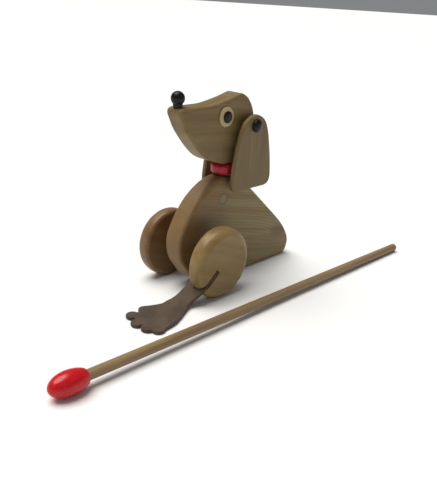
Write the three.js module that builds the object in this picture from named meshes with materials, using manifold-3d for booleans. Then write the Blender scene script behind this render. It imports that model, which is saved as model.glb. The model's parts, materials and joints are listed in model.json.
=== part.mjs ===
// Wooden push-along dog: a sitting dog cut from thick board, two front wheels that carry flapping
// leather feet half a turn apart, and a loose push stick with a turned handle lying beside it.
// Millimetres. +Z is up and the dog faces -Y, so its left side is +X.
// The dog is laid out from the floor under the middle of its axle, and the whole set is moved at the
// end so that its origin is the middle of its base.

import * as THREE from 'three';
import Module from 'manifold-3d';
import { mergeVertices } from 'three/addons/utils/BufferGeometryUtils.js';

const wasm = await Module();
wasm.setup();

// ---- Clearances -----------------------------------------------------------------------------
const glueGap = 0.3; // round a dowel that is glued in its hole
const runGap = 0.3; // round a shaft that turns in its hole
const seatGap = 0.3; // between two pieces that rest on each other
const footGap = 1.0; // between the side of the body and the nearest toe
const past = 1; // how far a cutting shape runs past the face it opens

// ---- Boards -----------------------------------------------------------------------------------
const boardThickness = 24; // body and head are cut from the same board
const boardEdge = 3.5; // rounding along the board edges

// ---- Wheels and axle --------------------------------------------------------------------------
const wheelRadius = 40;
const wheelThickness = 19;
const wheelOuterEdge = 6; // rounding of the outer rim
const wheelInnerEdge = 3;
const wheelStandOff = 20.7; // from the side of the body to the inner face of a wheel
const axleRadius = 5;
const axleSocketDepth = 13; // blind hole in the inner face of a wheel
const spacerRadius = 9;

// ---- Body, measured from the floor and from the axle --------------------------------------------
const bodyHeight = 124; // floor to the flat seat under the collar
const chestReach = 32; // ahead of the axle
const rearReach = 166; // behind the axle
const neckBehindAxle = 44;
const neckRadius = 7;
const neckDepthInBody = 32;
const neckDepthInHead = 20;
const pinRadius = 6.25;
const pinDrop = 25; // centre of the locking pin below the seat
const pinBite = 2.2; // how far the pin cuts into the neck dowel
const collarRadius = 15;
const collarHeight = 13.4;
const collarEdge = 4.5;
const dowelEdge = 1; // rounding at the ends of dowels and spacers
const pinEdge = 0.6;

// ---- Head, measured from the neck and from the underside of the jaw ------------------------------
const headHeight = 76; // jaw to crown
const snoutReach = 80; // ahead of the neck
const headRear = 35; // behind the neck
const snoutDip = 10; // top of the snout below the crown
const jawAhead = 10; // flat underside of the jaw, ahead of the neck
const jawBehind = 14;
const eyeAhead = 14.5;
const eyeBelowCrown = 23;
const eyeRadius = 10.8;
const eyeThickness = 2.2;
const pupilRadius = 6.3;
const pupilRise = 2;
const pupilShankRadius = 2.5;
const pupilShankDepth = 7;
const noseBehindTip = 5.5; // axis of the nose's peg
const noseRadius = 7.3;
const noseNeckRadius = 5; // short neck turned in one with the ball
const noseNeckRise = 1.7; // snout to the lowest point of the ball
const nosePegRadius = 2.5;
const nosePegDepth = 9;

// ---- Ears, measured from their peg --------------------------------------------------------------
const earThickness = 6;
const earEdge = 1.8;
const earWidth = 66;
const earRise = 12; // above the peg
const earDrop = 72; // below the peg
const earPegBehindNeck = 22.3;
const earPegBelowCrown = 34;
const earPegRadius = 3;
const earPegDepth = 9;
const earRearCorner = 12;
const earFrontCorner = 8;
const earCapRadius = 7.2;
const earCapRise = 5;
const earSpacerRadius = 7;
const earSpacerThickness = 6;

// ---- Leather feet -------------------------------------------------------------------------------
const leatherThickness = 4;
const slotWidth = 6;
const slotOffset = 1; // lower wall of the slot above the wheel's own radius line
const slotInnerEnd = 11.4; // from the wheel's centre
const slotDrop = THREE.MathUtils.degToRad(40.5); // slot below the horizontal
const flexStart = 2.5; // the leather flexes this far outside the rim
const footBendRadius = 35;
const footWidth = 56;
const footLength = 87; // rim to the furthest toe
const toeRadius = 7;
const tangInset = 0.5; // tang short of the outer face, the slot end and the rim
const tangOverhang = 7; // the leather stands out of the slot towards the body

// ---- Push stick ---------------------------------------------------------------------------------
const stickRadius = 5;
const stickLength = 518; // with the part that is inside the handle
const stickEndEdge = 3;
const socketClearance = 0.3; // between the stick and its socket in the dog's back
const socketDepth = 30;
const socketBehindAxle = 105;
const handleRadius = 11;
const handleLength = 36;
const handleBlunt = 6.8; // radius of the flat end that the stick enters
const handleSocketDepth = 20;
const stickAside = 95.6; // stick axis from the middle of the dog
const stickFront = -246.2; // front of the handle, from the axle
const stickYaw = THREE.MathUtils.degToRad(1.6);

// ---- Worked out from the values above -------------------------------------------------------------
const halfBoard = boardThickness / 2;
const wheelInnerFace = halfBoard + wheelStandOff;
const wheelCentre = wheelInnerFace + wheelThickness / 2;
const headBase = bodyHeight + collarHeight + 2 * seatGap;
const crown = headBase + headHeight;
const snoutTop = headHeight - snoutDip;
const pinBehindAxle = neckBehindAxle - neckRadius - pinRadius + pinBite;
const sides = [['left', 1], ['right', -1]];

const wood = { color: 0xb59a66, roughness: 0.5, metalness: 0 };
const paleWood = { color: 0xd8c594, roughness: 0.5, metalness: 0 };
const finishes = {
  wood,
  wheelWood: { ...wood, color: 0xbfa26b },
  dowelWood: { ...wood, color: 0xa88a58 },
  stickWood: { ...wood, color: 0x8f7550 },
  eyeWood: paleWood,
  black: { color: 0x0d0d0f, roughness: 0.2, metalness: 0 },
  collarRed: { color: 0x9c1626, roughness: 0.3, metalness: 0 },
  handleRed: { color: 0xb4141c, roughness: 0.25, metalness: 0 },
  leather: { color: 0x6b5a48, roughness: 0.75, metalness: 0 },
};

// ---- Helpers --------------------------------------------------------------------------------------

// Leaves a geometry with merged positions and without the empty triangles at the poles.
function tidyGeometry(geometry) {
  geometry.deleteAttribute('normal');
  geometry.deleteAttribute('uv');
  const merged = mergeVertices(geometry, 1e-4);
  const corners = Array.from(merged.index.array);
  const kept = [];
  for (let i = 0; i < corners.length; i += 3) {
    const [a, b, c] = corners.slice(i, i + 3);
    if (a !== b && b !== c && c !== a) kept.push(a, b, c);
  }
  merged.setIndex(kept);
  return merged;
}

function solidOf(geometry) {
  const tidy = tidyGeometry(geometry);
  return new wasm.Manifold(new wasm.Mesh({
    numProp: 3,
    vertProperties: new Float32Array(tidy.attributes.position.array),
    triVerts: new Uint32Array(tidy.index.array),
  }));
}

function geometryOf(solid) {
  const mesh = solid.getMesh();
  const geometry = new THREE.BufferGeometry();
  geometry.setAttribute('position', new THREE.BufferAttribute(mesh.vertProperties, 3));
  geometry.setIndex(new THREE.BufferAttribute(mesh.triVerts, 1));
  return geometry;
}

function cut(base, ...tools) {
  return geometryOf(tools.reduce((solid, tool) => solid.subtract(solidOf(tool)), solidOf(base)));
}

function piece(name, finish, geometry) {
  const tidy = tidyGeometry(geometry.index ? geometry : mergeVertices(geometry, 1e-4));
  tidy.computeVertexNormals();
  const mesh = new THREE.Mesh(tidy, new THREE.MeshStandardMaterial(finishes[finish]));
  mesh.name = name;
  return mesh;
}

// Quarter round in a turned profile, about a centre and from one angle to another.
function roundCorner(centreRadius, centreHeight, edge, from, to, steps = 2) {
  const points = [];
  for (let i = 0; i <= steps; i += 1) {
    const angle = from + ((to - from) * i) / steps;
    points.push(new THREE.Vector2(
      centreRadius + edge * Math.cos(angle),
      centreHeight + edge * Math.sin(angle),
    ));
  }
  return points;
}

// A turned rod, disc or ring along +Y, from height 0, with its own rounding at each end.
function turned(radius, length, { low = 0, high = 0, bore = 0, segments = 20 } = {}) {
  const lowCorner = low
    ? roundCorner(radius - low, low, low, -Math.PI / 2, 0)
    : [new THREE.Vector2(radius, 0)];
  const highCorner = high
    ? roundCorner(radius - high, length - high, high, 0, Math.PI / 2)
    : [new THREE.Vector2(radius, length)];
  const profile = [
    new THREE.Vector2(bore, 0),
    ...lowCorner,
    ...highCorner,
    new THREE.Vector2(bore, length),
  ];
  if (bore > 0) profile.push(new THREE.Vector2(bore, 0));
  return new THREE.LatheGeometry(profile, segments);
}

const alongX = (geometry) => geometry.rotateZ(-Math.PI / 2);
const alongZ = (geometry) => geometry.rotateX(Math.PI / 2);

// A flat outline in (y, z) becomes a board centred on x = 0, with rounded edges.
function board(shape, thickness, edge) {
  const geometry = new THREE.ExtrudeGeometry(shape, {
    depth: thickness - 2 * edge,
    curveSegments: 2,
    bevelThickness: edge,
    bevelSize: edge,
    bevelOffset: -edge,
    bevelSegments: 2,
  });
  return standUp(geometry.translate(0, 0, edge - thickness / 2));
}

// An outline in (y, z) carried along x.
function sideExtrusion(shape, fromX, toX) {
  const geometry = new THREE.ExtrudeGeometry(shape, { depth: toX - fromX, bevelEnabled: false });
  return standUp(geometry.translate(0, 0, fromX));
}

// Turns an outline drawn in (x, y) with its depth along z into one in (y, z) with its depth along x.
function standUp(geometry) {
  const yAxis = new THREE.Vector3(0, 1, 0);
  const zAxis = new THREE.Vector3(0, 0, 1);
  const xAxis = new THREE.Vector3(1, 0, 0);
  return geometry.applyMatrix4(new THREE.Matrix4().makeBasis(yAxis, zAxis, xAxis));
}

// ---- Body -------------------------------------------------------------------------------------------

// The seat is as long as the collar is wide. Points ahead of the axle follow the chest's reach,
// points behind it follow the rear's, and heights follow the body's height.
function bodyShape() {
  const chest = (reach, height) => new THREE.Vector2(-reach * chestReach, height * bodyHeight);
  const rear = (reach, height) => new THREE.Vector2(reach * rearReach, height * bodyHeight);
  const shape = new THREE.Shape();
  shape.moveTo(neckBehindAxle + collarRadius, bodyHeight);
  shape.splineThru([
    rear(slopeTop.reach, slopeTop.height),
    rear(0.68, 0.618),
    rear(slopeFoot.reach, slopeFoot.height),
    rear(0.965, 0.25),
    rear(1, 0.14),
    rear(0.985, 0.05),
  ]);
  shape.quadraticCurveTo(0.965 * rearReach, 0, 0.9 * rearReach, 0);
  shape.lineTo(0.52 * rearReach, 0);
  shape.splineThru([
    rear(0.3, 0.018),
    rear(0.1, 0.045),
    chest(0.22, 0.092),
    chest(0.62, 0.2),
    chest(0.9, 0.31),
    chest(1, 0.43),
    chest(0.97, 0.52),
    chest(0.82, 0.61),
    chest(0.56, 0.72),
    chest(0.21, 0.83),
    new THREE.Vector2(0.08 * neckBehindAxle, 0.904 * bodyHeight),
    new THREE.Vector2(0.33 * neckBehindAxle, 0.96 * bodyHeight),
    new THREE.Vector2(neckBehindAxle - collarRadius, bodyHeight),
  ]);
  return shape;
}

// The straight of the back, as shares of the rear's reach and of the body's height.
const slopeTop = { reach: 0.49, height: 0.835 };
const slopeFoot = { reach: 0.872, height: 0.395 };

// The socket's mouth is on the straight of the back, and its axis stands square to that slope.
function socketPlace() {
  const start = new THREE.Vector2(slopeTop.reach * rearReach, slopeTop.height * bodyHeight);
  const end = new THREE.Vector2(slopeFoot.reach * rearReach, slopeFoot.height * bodyHeight);
  const along = end.sub(start);
  const mouth = start.addScaledVector(along, (socketBehindAxle - start.x) / along.x);
  along.normalize();
  return { mouth, outward: new THREE.Vector2(-along.y, along.x) };
}

function makeBody() {
  const neckBore = alongZ(turned(neckRadius + glueGap, neckDepthInBody + past))
    .translate(0, neckBehindAxle, bodyHeight - neckDepthInBody);
  const axleBore = alongX(turned(axleRadius + runGap, boardThickness + 2 * past))
    .translate(-halfBoard - past, 0, wheelRadius);
  const pinBore = alongX(turned(pinRadius + glueGap, boardThickness + 2 * past))
    .translate(-halfBoard - past, pinBehindAxle, bodyHeight - pinDrop);
  const { mouth, outward } = socketPlace();
  const tilt = Math.atan2(outward.y, outward.x);
  const socket = turned(stickRadius + socketClearance, socketDepth + stickRadius)
    .translate(0, -socketDepth, 0)
    .rotateX(tilt)
    .translate(0, mouth.x, mouth.y);
  return piece('body', 'wood', cut(
    board(bodyShape(), boardThickness, boardEdge),
    neckBore,
    axleBore,
    pinBore,
    socket,
  ));
}

function makeNeck() {
  const dowelLength = neckDepthInBody + collarHeight + 2 * seatGap + neckDepthInHead - 2 * glueGap;
  const dowel = alongZ(turned(neckRadius, dowelLength, { low: dowelEdge, high: dowelEdge }))
    .translate(0, neckBehindAxle, bodyHeight - neckDepthInBody + glueGap);
  const notch = alongX(turned(pinRadius + glueGap, boardThickness))
    .translate(-halfBoard, pinBehindAxle, bodyHeight - pinDrop);
  const pin = alongX(turned(pinRadius, boardThickness, { low: pinEdge, high: pinEdge }))
    .translate(-halfBoard, pinBehindAxle, bodyHeight - pinDrop);
  const collar = alongZ(turned(collarRadius, collarHeight, {
    low: collarEdge,
    high: collarEdge,
    bore: neckRadius + glueGap,
    segments: 28,
  })).translate(0, neckBehindAxle, bodyHeight + seatGap);
  return [
    piece('neck_dowel', 'dowelWood', cut(dowel, notch)),
    piece('neck_pin', 'dowelWood', pin),
    piece('collar_ring', 'collarRed', collar),
  ];
}

// ---- Head -------------------------------------------------------------------------------------------

// Heights of the jaw follow the head's height, and the top line hangs from the crown.
function headShape() {
  const jaw = (reach, height) => new THREE.Vector2(-reach * snoutReach, height * snoutTop);
  const top = (reach, drop) => new THREE.Vector2(-reach * snoutReach, headHeight - drop);
  const back = (reach, height) => new THREE.Vector2(reach * headRear, height * headHeight);
  const shape = new THREE.Shape();
  shape.moveTo(-jawAhead, 0);
  shape.splineThru([
    jaw(0.24, 0.036),
    jaw(0.47, 0.137),
    jaw(0.65, 0.305),
    jaw(0.87, 0.61),
    jaw(0.965, 0.81),
    jaw(1, 0.915),
    jaw(0.965, 0.99),
    top(0.84, snoutDip),
    top(0.55, snoutDip),
    top(0.4, snoutDip - 0.9),
    top(0.14, snoutDip * 0.52),
    top(-0.06, 1.2),
    back(0.3, 1),
    back(0.47, 0.978),
    back(0.65, 0.925),
    back(0.83, 0.82),
    back(0.94, 0.7),
    back(1, 0.54),
    back(0.94, 0.3),
    back(0.75, 0.1),
    new THREE.Vector2(jawBehind, 0),
  ]);
  return shape;
}

function makeHead() {
  const neckBore = alongZ(turned(neckRadius + glueGap, neckDepthInHead + past))
    .translate(0, 0, -past);
  const nosePegBore = alongZ(turned(nosePegRadius + glueGap, nosePegDepth + past))
    .translate(0, noseBehindTip - snoutReach, snoutTop - nosePegDepth);
  const tools = [neckBore, nosePegBore];
  for (const [, side] of sides) {
    const sideBore = (radius, depth) => alongX(turned(radius + glueGap, depth + past))
      .translate(side > 0 ? halfBoard - depth : -halfBoard - past, 0, 0);
    tools.push(
      sideBore(earPegRadius, earPegDepth)
        .translate(0, earPegBehindNeck, headHeight - earPegBelowCrown),
      sideBore(pupilShankRadius, pupilShankDepth)
        .translate(0, -eyeAhead, headHeight - eyeBelowCrown),
    );
  }
  return piece('head', 'wood', cut(board(headShape(), boardThickness, boardEdge), ...tools));
}

function makeNose() {
  const nose = new THREE.Group();
  nose.position.set(0, noseBehindTip - snoutReach, snoutTop);
  const ballCentre = noseNeckRise + noseRadius;
  const pegTop = ballCentre + noseRadius * 0.2;
  const peg = alongZ(turned(nosePegRadius, nosePegDepth + pegTop - glueGap))
    .translate(0, 0, glueGap - nosePegDepth);
  const ball = new THREE.SphereGeometry(noseRadius, 20, 12).rotateX(Math.PI / 2)
    .translate(0, 0, ballCentre);
  const neck = alongZ(turned(noseNeckRadius, ballCentre - seatGap)).translate(0, 0, seatGap);
  const ballWithNeck = geometryOf(solidOf(ball).add(solidOf(neck)));
  const pegHole = alongZ(turned(nosePegRadius + glueGap, ballCentre + pegTop))
    .translate(0, 0, glueGap - ballCentre);
  nose.add(piece('nose_peg', 'black', peg), piece('nose_ball', 'black', cut(ballWithNeck, pegHole)));
  return nose;
}

// Both are made for the left side, with x outward from the side of the head.
function makeEye(label) {
  const disc = alongX(turned(eyeRadius, eyeThickness, {
    high: eyeThickness * 0.7,
    bore: pupilShankRadius + glueGap,
    segments: 24,
  })).translate(seatGap, 0, 0);
  const domeBase = 2 * seatGap + eyeThickness;
  const shankEnd = glueGap - pupilShankDepth;
  const profile = [
    new THREE.Vector2(0, shankEnd),
    new THREE.Vector2(pupilShankRadius, shankEnd),
    new THREE.Vector2(pupilShankRadius, domeBase),
    new THREE.Vector2(pupilRadius, domeBase),
    ...domeProfile(pupilRadius, domeBase, pupilRise),
  ];
  const pupil = alongX(new THREE.LatheGeometry(profile, 20));
  return [
    piece(`eye_disc_${label}`, 'eyeWood', disc),
    piece(`eye_pupil_${label}`, 'black', pupil),
  ];
}

// A low dome from a short upright rim to its top on the axis.
function domeProfile(radius, base, rise, steps = 4) {
  const rim = rise * 0.3;
  const points = [];
  for (let i = 0; i <= steps; i += 1) {
    const angle = (Math.PI / 2) * (i / steps);
    points.push(new THREE.Vector2(
      i === steps ? 0 : radius * Math.cos(angle),
      base + rim + (rise - rim) * Math.sin(angle),
    ));
  }
  return points;
}

// ---- Ears -------------------------------------------------------------------------------------------

function earShape() {
  const half = earWidth / 2;
  const flank = [
    [1, -0.83 * earDrop],
    [0.935, -0.585 * earDrop],
    [0.815, -0.305 * earDrop],
    [0.665, -0.07 * earDrop],
    [0.44, 0.53 * earRise],
  ];
  const shape = new THREE.Shape();
  shape.moveTo(-half * flank[0][0], flank[0][1]);
  shape.splineThru([
    ...flank.slice(1).map(([share, height]) => new THREE.Vector2(-half * share, height)),
    new THREE.Vector2(0, earRise),
    ...flank.slice().reverse().map(([share, height]) => new THREE.Vector2(half * share, height)),
  ]);
  shape.quadraticCurveTo(half, -earDrop, half - earRearCorner, -earDrop);
  shape.lineTo(earFrontCorner - half, -earDrop);
  shape.quadraticCurveTo(-half, -earDrop, -half, -earDrop + earFrontCorner);
  return shape;
}

// Made for the left side, with x outward from the side of the head and the peg on x.
function makeEar(label) {
  const spacer = alongX(turned(earSpacerRadius, earSpacerThickness, {
    low: dowelEdge,
    high: dowelEdge,
    bore: earPegRadius + glueGap,
  })).translate(seatGap, 0, 0);
  const innerFace = earSpacerThickness + 2 * seatGap;
  const pegHole = alongX(turned(earPegRadius + runGap, earThickness + 2 * past))
    .translate(-earThickness / 2 - past, 0, 0);
  const ear = cut(board(earShape(), earThickness, earEdge), pegHole)
    .translate(innerFace + earThickness / 2, 0, 0);
  const capBase = innerFace + earThickness + seatGap;
  const profile = [
    new THREE.Vector2(0, glueGap - earPegDepth),
    new THREE.Vector2(earPegRadius, glueGap - earPegDepth),
    new THREE.Vector2(earPegRadius, capBase),
    new THREE.Vector2(earCapRadius, capBase),
    ...domeProfile(earCapRadius, capBase, earCapRise),
  ];
  return [
    piece(`ear_spacer_${label}`, 'dowelWood', spacer),
    piece(`ear_${label}`, 'wood', ear),
    piece(`ear_peg_${label}`, 'black', alongX(new THREE.LatheGeometry(profile, 20))),
  ];
}

// Turns a left-hand geometry into its right-hand mirror image, with its faces still outward.
function mirrorPiece(mesh) {
  mesh.geometry.scale(-1, 1, 1);
  const corners = mesh.geometry.index.array;
  for (let i = 0; i < corners.length; i += 3) {
    [corners[i], corners[i + 1]] = [corners[i + 1], corners[i]];
  }
  mesh.geometry.computeVertexNormals();
  return mesh;
}

function placeOnHeadSide(meshes, side, ahead, belowCrown) {
  const group = new THREE.Group();
  group.position.set(side * halfBoard, ahead, headHeight - belowCrown);
  group.add(...meshes.map((mesh) => (side > 0 ? mesh : mirrorPiece(mesh))));
  return group;
}

// ---- Wheels and feet, measured from the middle of the axle ----------------------------------------

// Unit vectors along the slot, outward, and square to it, towards its upper wall.
const slotAlong = new THREE.Vector2(-Math.cos(slotDrop), -Math.sin(slotDrop));
const slotAcross = new THREE.Vector2(-Math.sin(slotDrop), Math.cos(slotDrop));

const inSlot = (along, across) => new THREE.Vector2()
  .addScaledVector(slotAlong, along)
  .addScaledVector(slotAcross, across);

// A block that fills the slot's direction from one distance to another, over a width along x.
function slotBlock(fromAlong, toAlong, fromAcross, toAcross, fromX, toX) {
  const shape = new THREE.Shape([
    inSlot(fromAlong, fromAcross),
    inSlot(toAlong, fromAcross),
    inSlot(toAlong, toAcross),
    inSlot(fromAlong, toAcross),
  ]);
  return sideExtrusion(shape, fromX, toX);
}

function makeWheel(label) {
  const disc = alongX(turned(wheelRadius, wheelThickness, {
    low: wheelInnerEdge,
    high: wheelOuterEdge,
    segments: 56,
  })).translate(wheelInnerFace, 0, 0);
  const axleSocket = alongX(turned(axleRadius + glueGap, axleSocketDepth + past))
    .translate(wheelInnerFace - past, 0, 0);
  const slot = slotBlock(
    slotInnerEnd,
    wheelRadius + past,
    slotOffset,
    slotOffset + slotWidth,
    wheelInnerFace - past,
    wheelInnerFace + wheelThickness + past,
  );
  return piece(`wheel_${label}`, 'wheelWood', cut(disc, axleSocket, slot));
}

const leatherLow = slotOffset + glueGap;
const leatherMiddle = leatherLow + leatherThickness / 2;

// The part of the leather that is held in the slot.
function makeTang(label) {
  return piece(`foot_tang_${label}`, 'leather', slotBlock(
    slotInnerEnd + tangInset,
    wheelRadius - tangInset,
    leatherLow,
    leatherLow + leatherThickness,
    wheelInnerFace - tangOverhang,
    wheelInnerFace + wheelThickness - tangInset,
  ));
}

// Side view of the leather outside the rim: straight out of the slot, round a bend, flat on the floor.
function leatherSide() {
  const start = inSlot(wheelRadius + flexStart, leatherMiddle);
  const floorLine = leatherThickness / 2 - wheelRadius;
  const bendDrop = footBendRadius * (1 - Math.cos(slotDrop));
  const straight = (start.y - floorLine - bendDrop) / Math.sin(slotDrop);
  const bendSteps = 8;
  const middle = [{ at: start, heading: slotDrop }];
  const bendStart = start.clone().addScaledVector(slotAlong, straight);
  const bendCentre = bendStart.clone().addScaledVector(slotAcross, footBendRadius);
  for (let i = 0; i <= bendSteps; i += 1) {
    const heading = slotDrop * (1 - i / bendSteps);
    middle.push({
      at: new THREE.Vector2(
        bendCentre.x + footBendRadius * Math.sin(heading),
        bendCentre.y - footBendRadius * Math.cos(heading),
      ),
      heading,
    });
  }
  middle.push({ at: new THREE.Vector2(rimExit() - footLength - toeRadius, floorLine), heading: 0 });
  const offset = ({ at, heading }, across) => new THREE.Vector2(
    at.x - across * Math.sin(heading),
    at.y + across * Math.cos(heading),
  );
  const half = leatherThickness / 2;
  return new THREE.Shape([
    ...middle.map((point) => offset(point, -half)),
    ...middle.map((point) => offset(point, half)).reverse(),
  ]);
}

// Where the leather leaves the rim, as a y ahead of the axle.
function rimExit() {
  return inSlot(wheelRadius, leatherMiddle).x;
}

// Five toes round the ball of the foot, each by its direction and its reach, and the web that
// joins them to the ankle. Directions are in the plan, from straight inward round to the outside.
const toes = [
  { direction: 178, reach: 0.43 },
  { direction: 219, reach: 0.47 },
  { direction: 258, reach: 0.42 },
  { direction: 293, reach: 0.42 },
  { direction: 319, reach: 0.43 },
];

function footPlan() {
  const inner = halfBoard + footGap;
  const ball = new THREE.Vector2(inner + 0.51 * footWidth, rimExit() - 0.64 * footLength);
  const toeCentres = toes.map(({ direction, reach }) => {
    const angle = THREE.MathUtils.degToRad(direction);
    const x = ball.x + reach * footWidth * Math.cos(angle);
    return new THREE.Vector2(
      THREE.MathUtils.clamp(x, inner + toeRadius, inner + footWidth - toeRadius),
      ball.y + reach * footWidth * Math.sin(angle),
    );
  });
  const ankleInner = wheelInnerFace - tangOverhang;
  const ankleOuter = wheelInnerFace + wheelThickness - tangInset;
  const edge = (across, ahead) => new THREE.Vector2(
    inner + across * footWidth,
    rimExit() - ahead * footLength,
  );
  const web = new THREE.Shape();
  web.moveTo(ankleOuter, 0);
  web.lineTo(ankleInner, 0);
  web.lineTo(ankleInner, rimExit());
  web.splineThru([edge(0.18, 0.15), edge(0.14, 0.28), edge(0.15, 0.39), edge(0.07, 0.53)]);
  toeCentres.forEach((centre) => web.lineTo(centre.x, centre.y));
  web.lineTo(inner + 0.92 * footWidth, rimExit() - 0.76 * footLength);
  web.splineThru([
    edge(0.88, 0.59),
    edge(0.79, 0.44),
    edge(0.665, 0.28),
    edge(0.585, 0.15),
    new THREE.Vector2(ankleOuter, rimExit()),
  ]);
  return { web, toeCentres };
}

function makeFoot(label) {
  const sideView = sideExtrusion(leatherSide(), 0, halfBoard + footGap + footWidth + toeRadius);
  const below = -wheelRadius - past;
  const depth = wheelRadius;
  const { web, toeCentres } = footPlan();
  let plan = solidOf(new THREE.ExtrudeGeometry(web, { depth, curveSegments: 2, bevelEnabled: false })
    .translate(0, 0, below));
  toeCentres.forEach((centre) => {
    plan = plan.add(solidOf(alongZ(turned(toeRadius, depth)).translate(centre.x, centre.y, below)));
  });
  return piece(`foot_${label}`, 'leather', geometryOf(plan.intersect(solidOf(sideView))));
}

function makeWheelSet() {
  const set = new THREE.Group();
  set.position.z = wheelRadius;
  const axleEnd = wheelInnerFace + axleSocketDepth - glueGap;
  const axle = turned(axleRadius, 2 * axleEnd, { low: dowelEdge, high: dowelEdge });
  set.add(piece('axle', 'dowelWood', alongX(axle).translate(-axleEnd, 0, 0)));
  for (const [label, side] of sides) {
    const tube = turned(spacerRadius, wheelStandOff - 2 * seatGap, {
      low: dowelEdge,
      high: dowelEdge,
      bore: axleRadius + runGap,
    });
    const spacer = piece(
      `axle_spacer_${label}`,
      'dowelWood',
      alongX(tube).translate(halfBoard + seatGap, 0, 0),
    );
    const corner = new THREE.Group();
    corner.rotation.x = side > 0 ? 0 : Math.PI;
    const meshes = [spacer, makeWheel(label), makeTang(label), makeFoot(label)];
    corner.add(...meshes.map((mesh) => (side > 0 ? mesh : mirrorPiece(mesh))));
    set.add(corner);
  }
  return set;
}

// ---- Push stick -------------------------------------------------------------------------------------

// Egg with its narrow end forward and a blunt end that the stick enters, along +Y from its tip.
function handleProfile() {
  const points = [];
  const steps = 10;
  const widest = handleLength * 0.52;
  const backAngle = Math.acos(handleBlunt / handleRadius);
  const backLength = (handleLength - widest) / Math.sin(backAngle);
  for (let i = 0; i <= steps; i += 1) {
    const angle = (Math.PI / 2) * (i / steps - 1);
    points.push(new THREE.Vector2(
      i === 0 ? 0 : handleRadius * Math.cos(angle),
      widest + widest * Math.sin(angle),
    ));
  }
  for (let i = 1; i <= steps / 2; i += 1) {
    const angle = (backAngle * i) / (steps / 2);
    points.push(new THREE.Vector2(
      handleRadius * Math.cos(angle),
      widest + backLength * Math.sin(angle),
    ));
  }
  points.push(new THREE.Vector2(0, handleLength));
  return { points, widest };
}

// The stick lies on the floor on its far end and on the widest part of its handle.
function makePushStick() {
  const { points, widest } = handleProfile();
  const stickStart = handleLength - handleSocketDepth;
  const bore = turned(stickRadius + glueGap, handleSocketDepth + past)
    .translate(0, stickStart - glueGap, 0);
  const handle = cut(new THREE.LatheGeometry(points, 24), bore);
  const stick = turned(stickRadius, stickLength, { low: dowelEdge, high: stickEndEdge })
    .translate(0, stickStart, 0);
  const group = new THREE.Group();
  const span = stickStart + stickLength - stickEndEdge - widest;
  const lean = Math.asin((handleRadius - stickRadius) / span);
  group.rotation.set(-lean, 0, -stickYaw, 'ZXY');
  const handleHeight = handleRadius * Math.cos(lean) + widest * Math.sin(lean);
  group.position.set(stickAside + stickYaw * stickFront, stickFront, handleHeight);
  group.add(piece('push_stick', 'stickWood', stick), piece('handle_egg', 'handleRed', handle));
  return group;
}

// ---- The whole set ------------------------------------------------------------------------------------

const head = new THREE.Group();
head.position.set(0, neckBehindAxle, headBase);
head.add(makeHead(), makeNose());
for (const [label, side] of sides) {
  head.add(placeOnHeadSide(makeEye(label), side, -eyeAhead, eyeBelowCrown));
  head.add(placeOnHeadSide(makeEar(label), side, earPegBehindNeck, earPegBelowCrown));
}

const toy = new THREE.Group();
toy.add(makeBody(), ...makeNeck(), head, makeWheelSet(), makePushStick());

toy.updateMatrixWorld(true);
const extent = new THREE.Box3().setFromObject(toy, true);
const middle = extent.getCenter(new THREE.Vector3());
toy.position.set(-middle.x, -middle.y, -extent.min.z);
toy.updateMatrixWorld(true);

export default toy;
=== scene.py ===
import json
import math

import bpy
import numpy as np
from mathutils import Matrix, Vector
from mathutils.geometry import delaunay_2d_cdt


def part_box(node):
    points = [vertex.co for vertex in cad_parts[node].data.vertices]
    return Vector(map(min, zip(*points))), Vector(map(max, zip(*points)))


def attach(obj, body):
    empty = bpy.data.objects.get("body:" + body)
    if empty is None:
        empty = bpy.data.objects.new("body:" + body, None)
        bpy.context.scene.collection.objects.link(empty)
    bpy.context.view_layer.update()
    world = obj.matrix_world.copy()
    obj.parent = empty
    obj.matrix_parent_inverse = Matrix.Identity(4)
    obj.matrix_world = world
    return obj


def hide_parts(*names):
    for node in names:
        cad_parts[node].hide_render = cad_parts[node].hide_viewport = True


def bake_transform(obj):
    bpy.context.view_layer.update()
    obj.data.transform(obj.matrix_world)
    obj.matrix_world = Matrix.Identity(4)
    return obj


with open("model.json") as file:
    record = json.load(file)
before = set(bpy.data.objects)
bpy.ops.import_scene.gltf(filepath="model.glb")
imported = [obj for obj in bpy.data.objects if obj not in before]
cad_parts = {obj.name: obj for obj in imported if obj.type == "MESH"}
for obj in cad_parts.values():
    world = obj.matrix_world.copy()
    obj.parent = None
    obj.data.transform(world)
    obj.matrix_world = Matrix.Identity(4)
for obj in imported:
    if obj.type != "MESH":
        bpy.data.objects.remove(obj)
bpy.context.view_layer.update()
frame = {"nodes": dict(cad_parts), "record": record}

# Sizes below are millimetres from the floor under the middle of the axle, with the dog facing -Y.
# The CAD boxes say where things are, and every finished mesh is in metres in the row's frame.


axleLow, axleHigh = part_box("axle")
floorPoint = np.array([(axleLow[0] + axleHigh[0]) / 2, (axleLow[1] + axleHigh[1]) / 2, 0.0])


def millimetres(point):
    return (np.array(point, float) - floorPoint) * 1000


def metres(points):
    return np.array(points, float) / 1000 + floorPoint


def boxOf(node):
    low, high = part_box(node)
    return millimetres(low), millimetres(high)


def centreOf(node):
    low, high = boxOf(node)
    return (low + high) / 2


# ---- shader graphs

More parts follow.
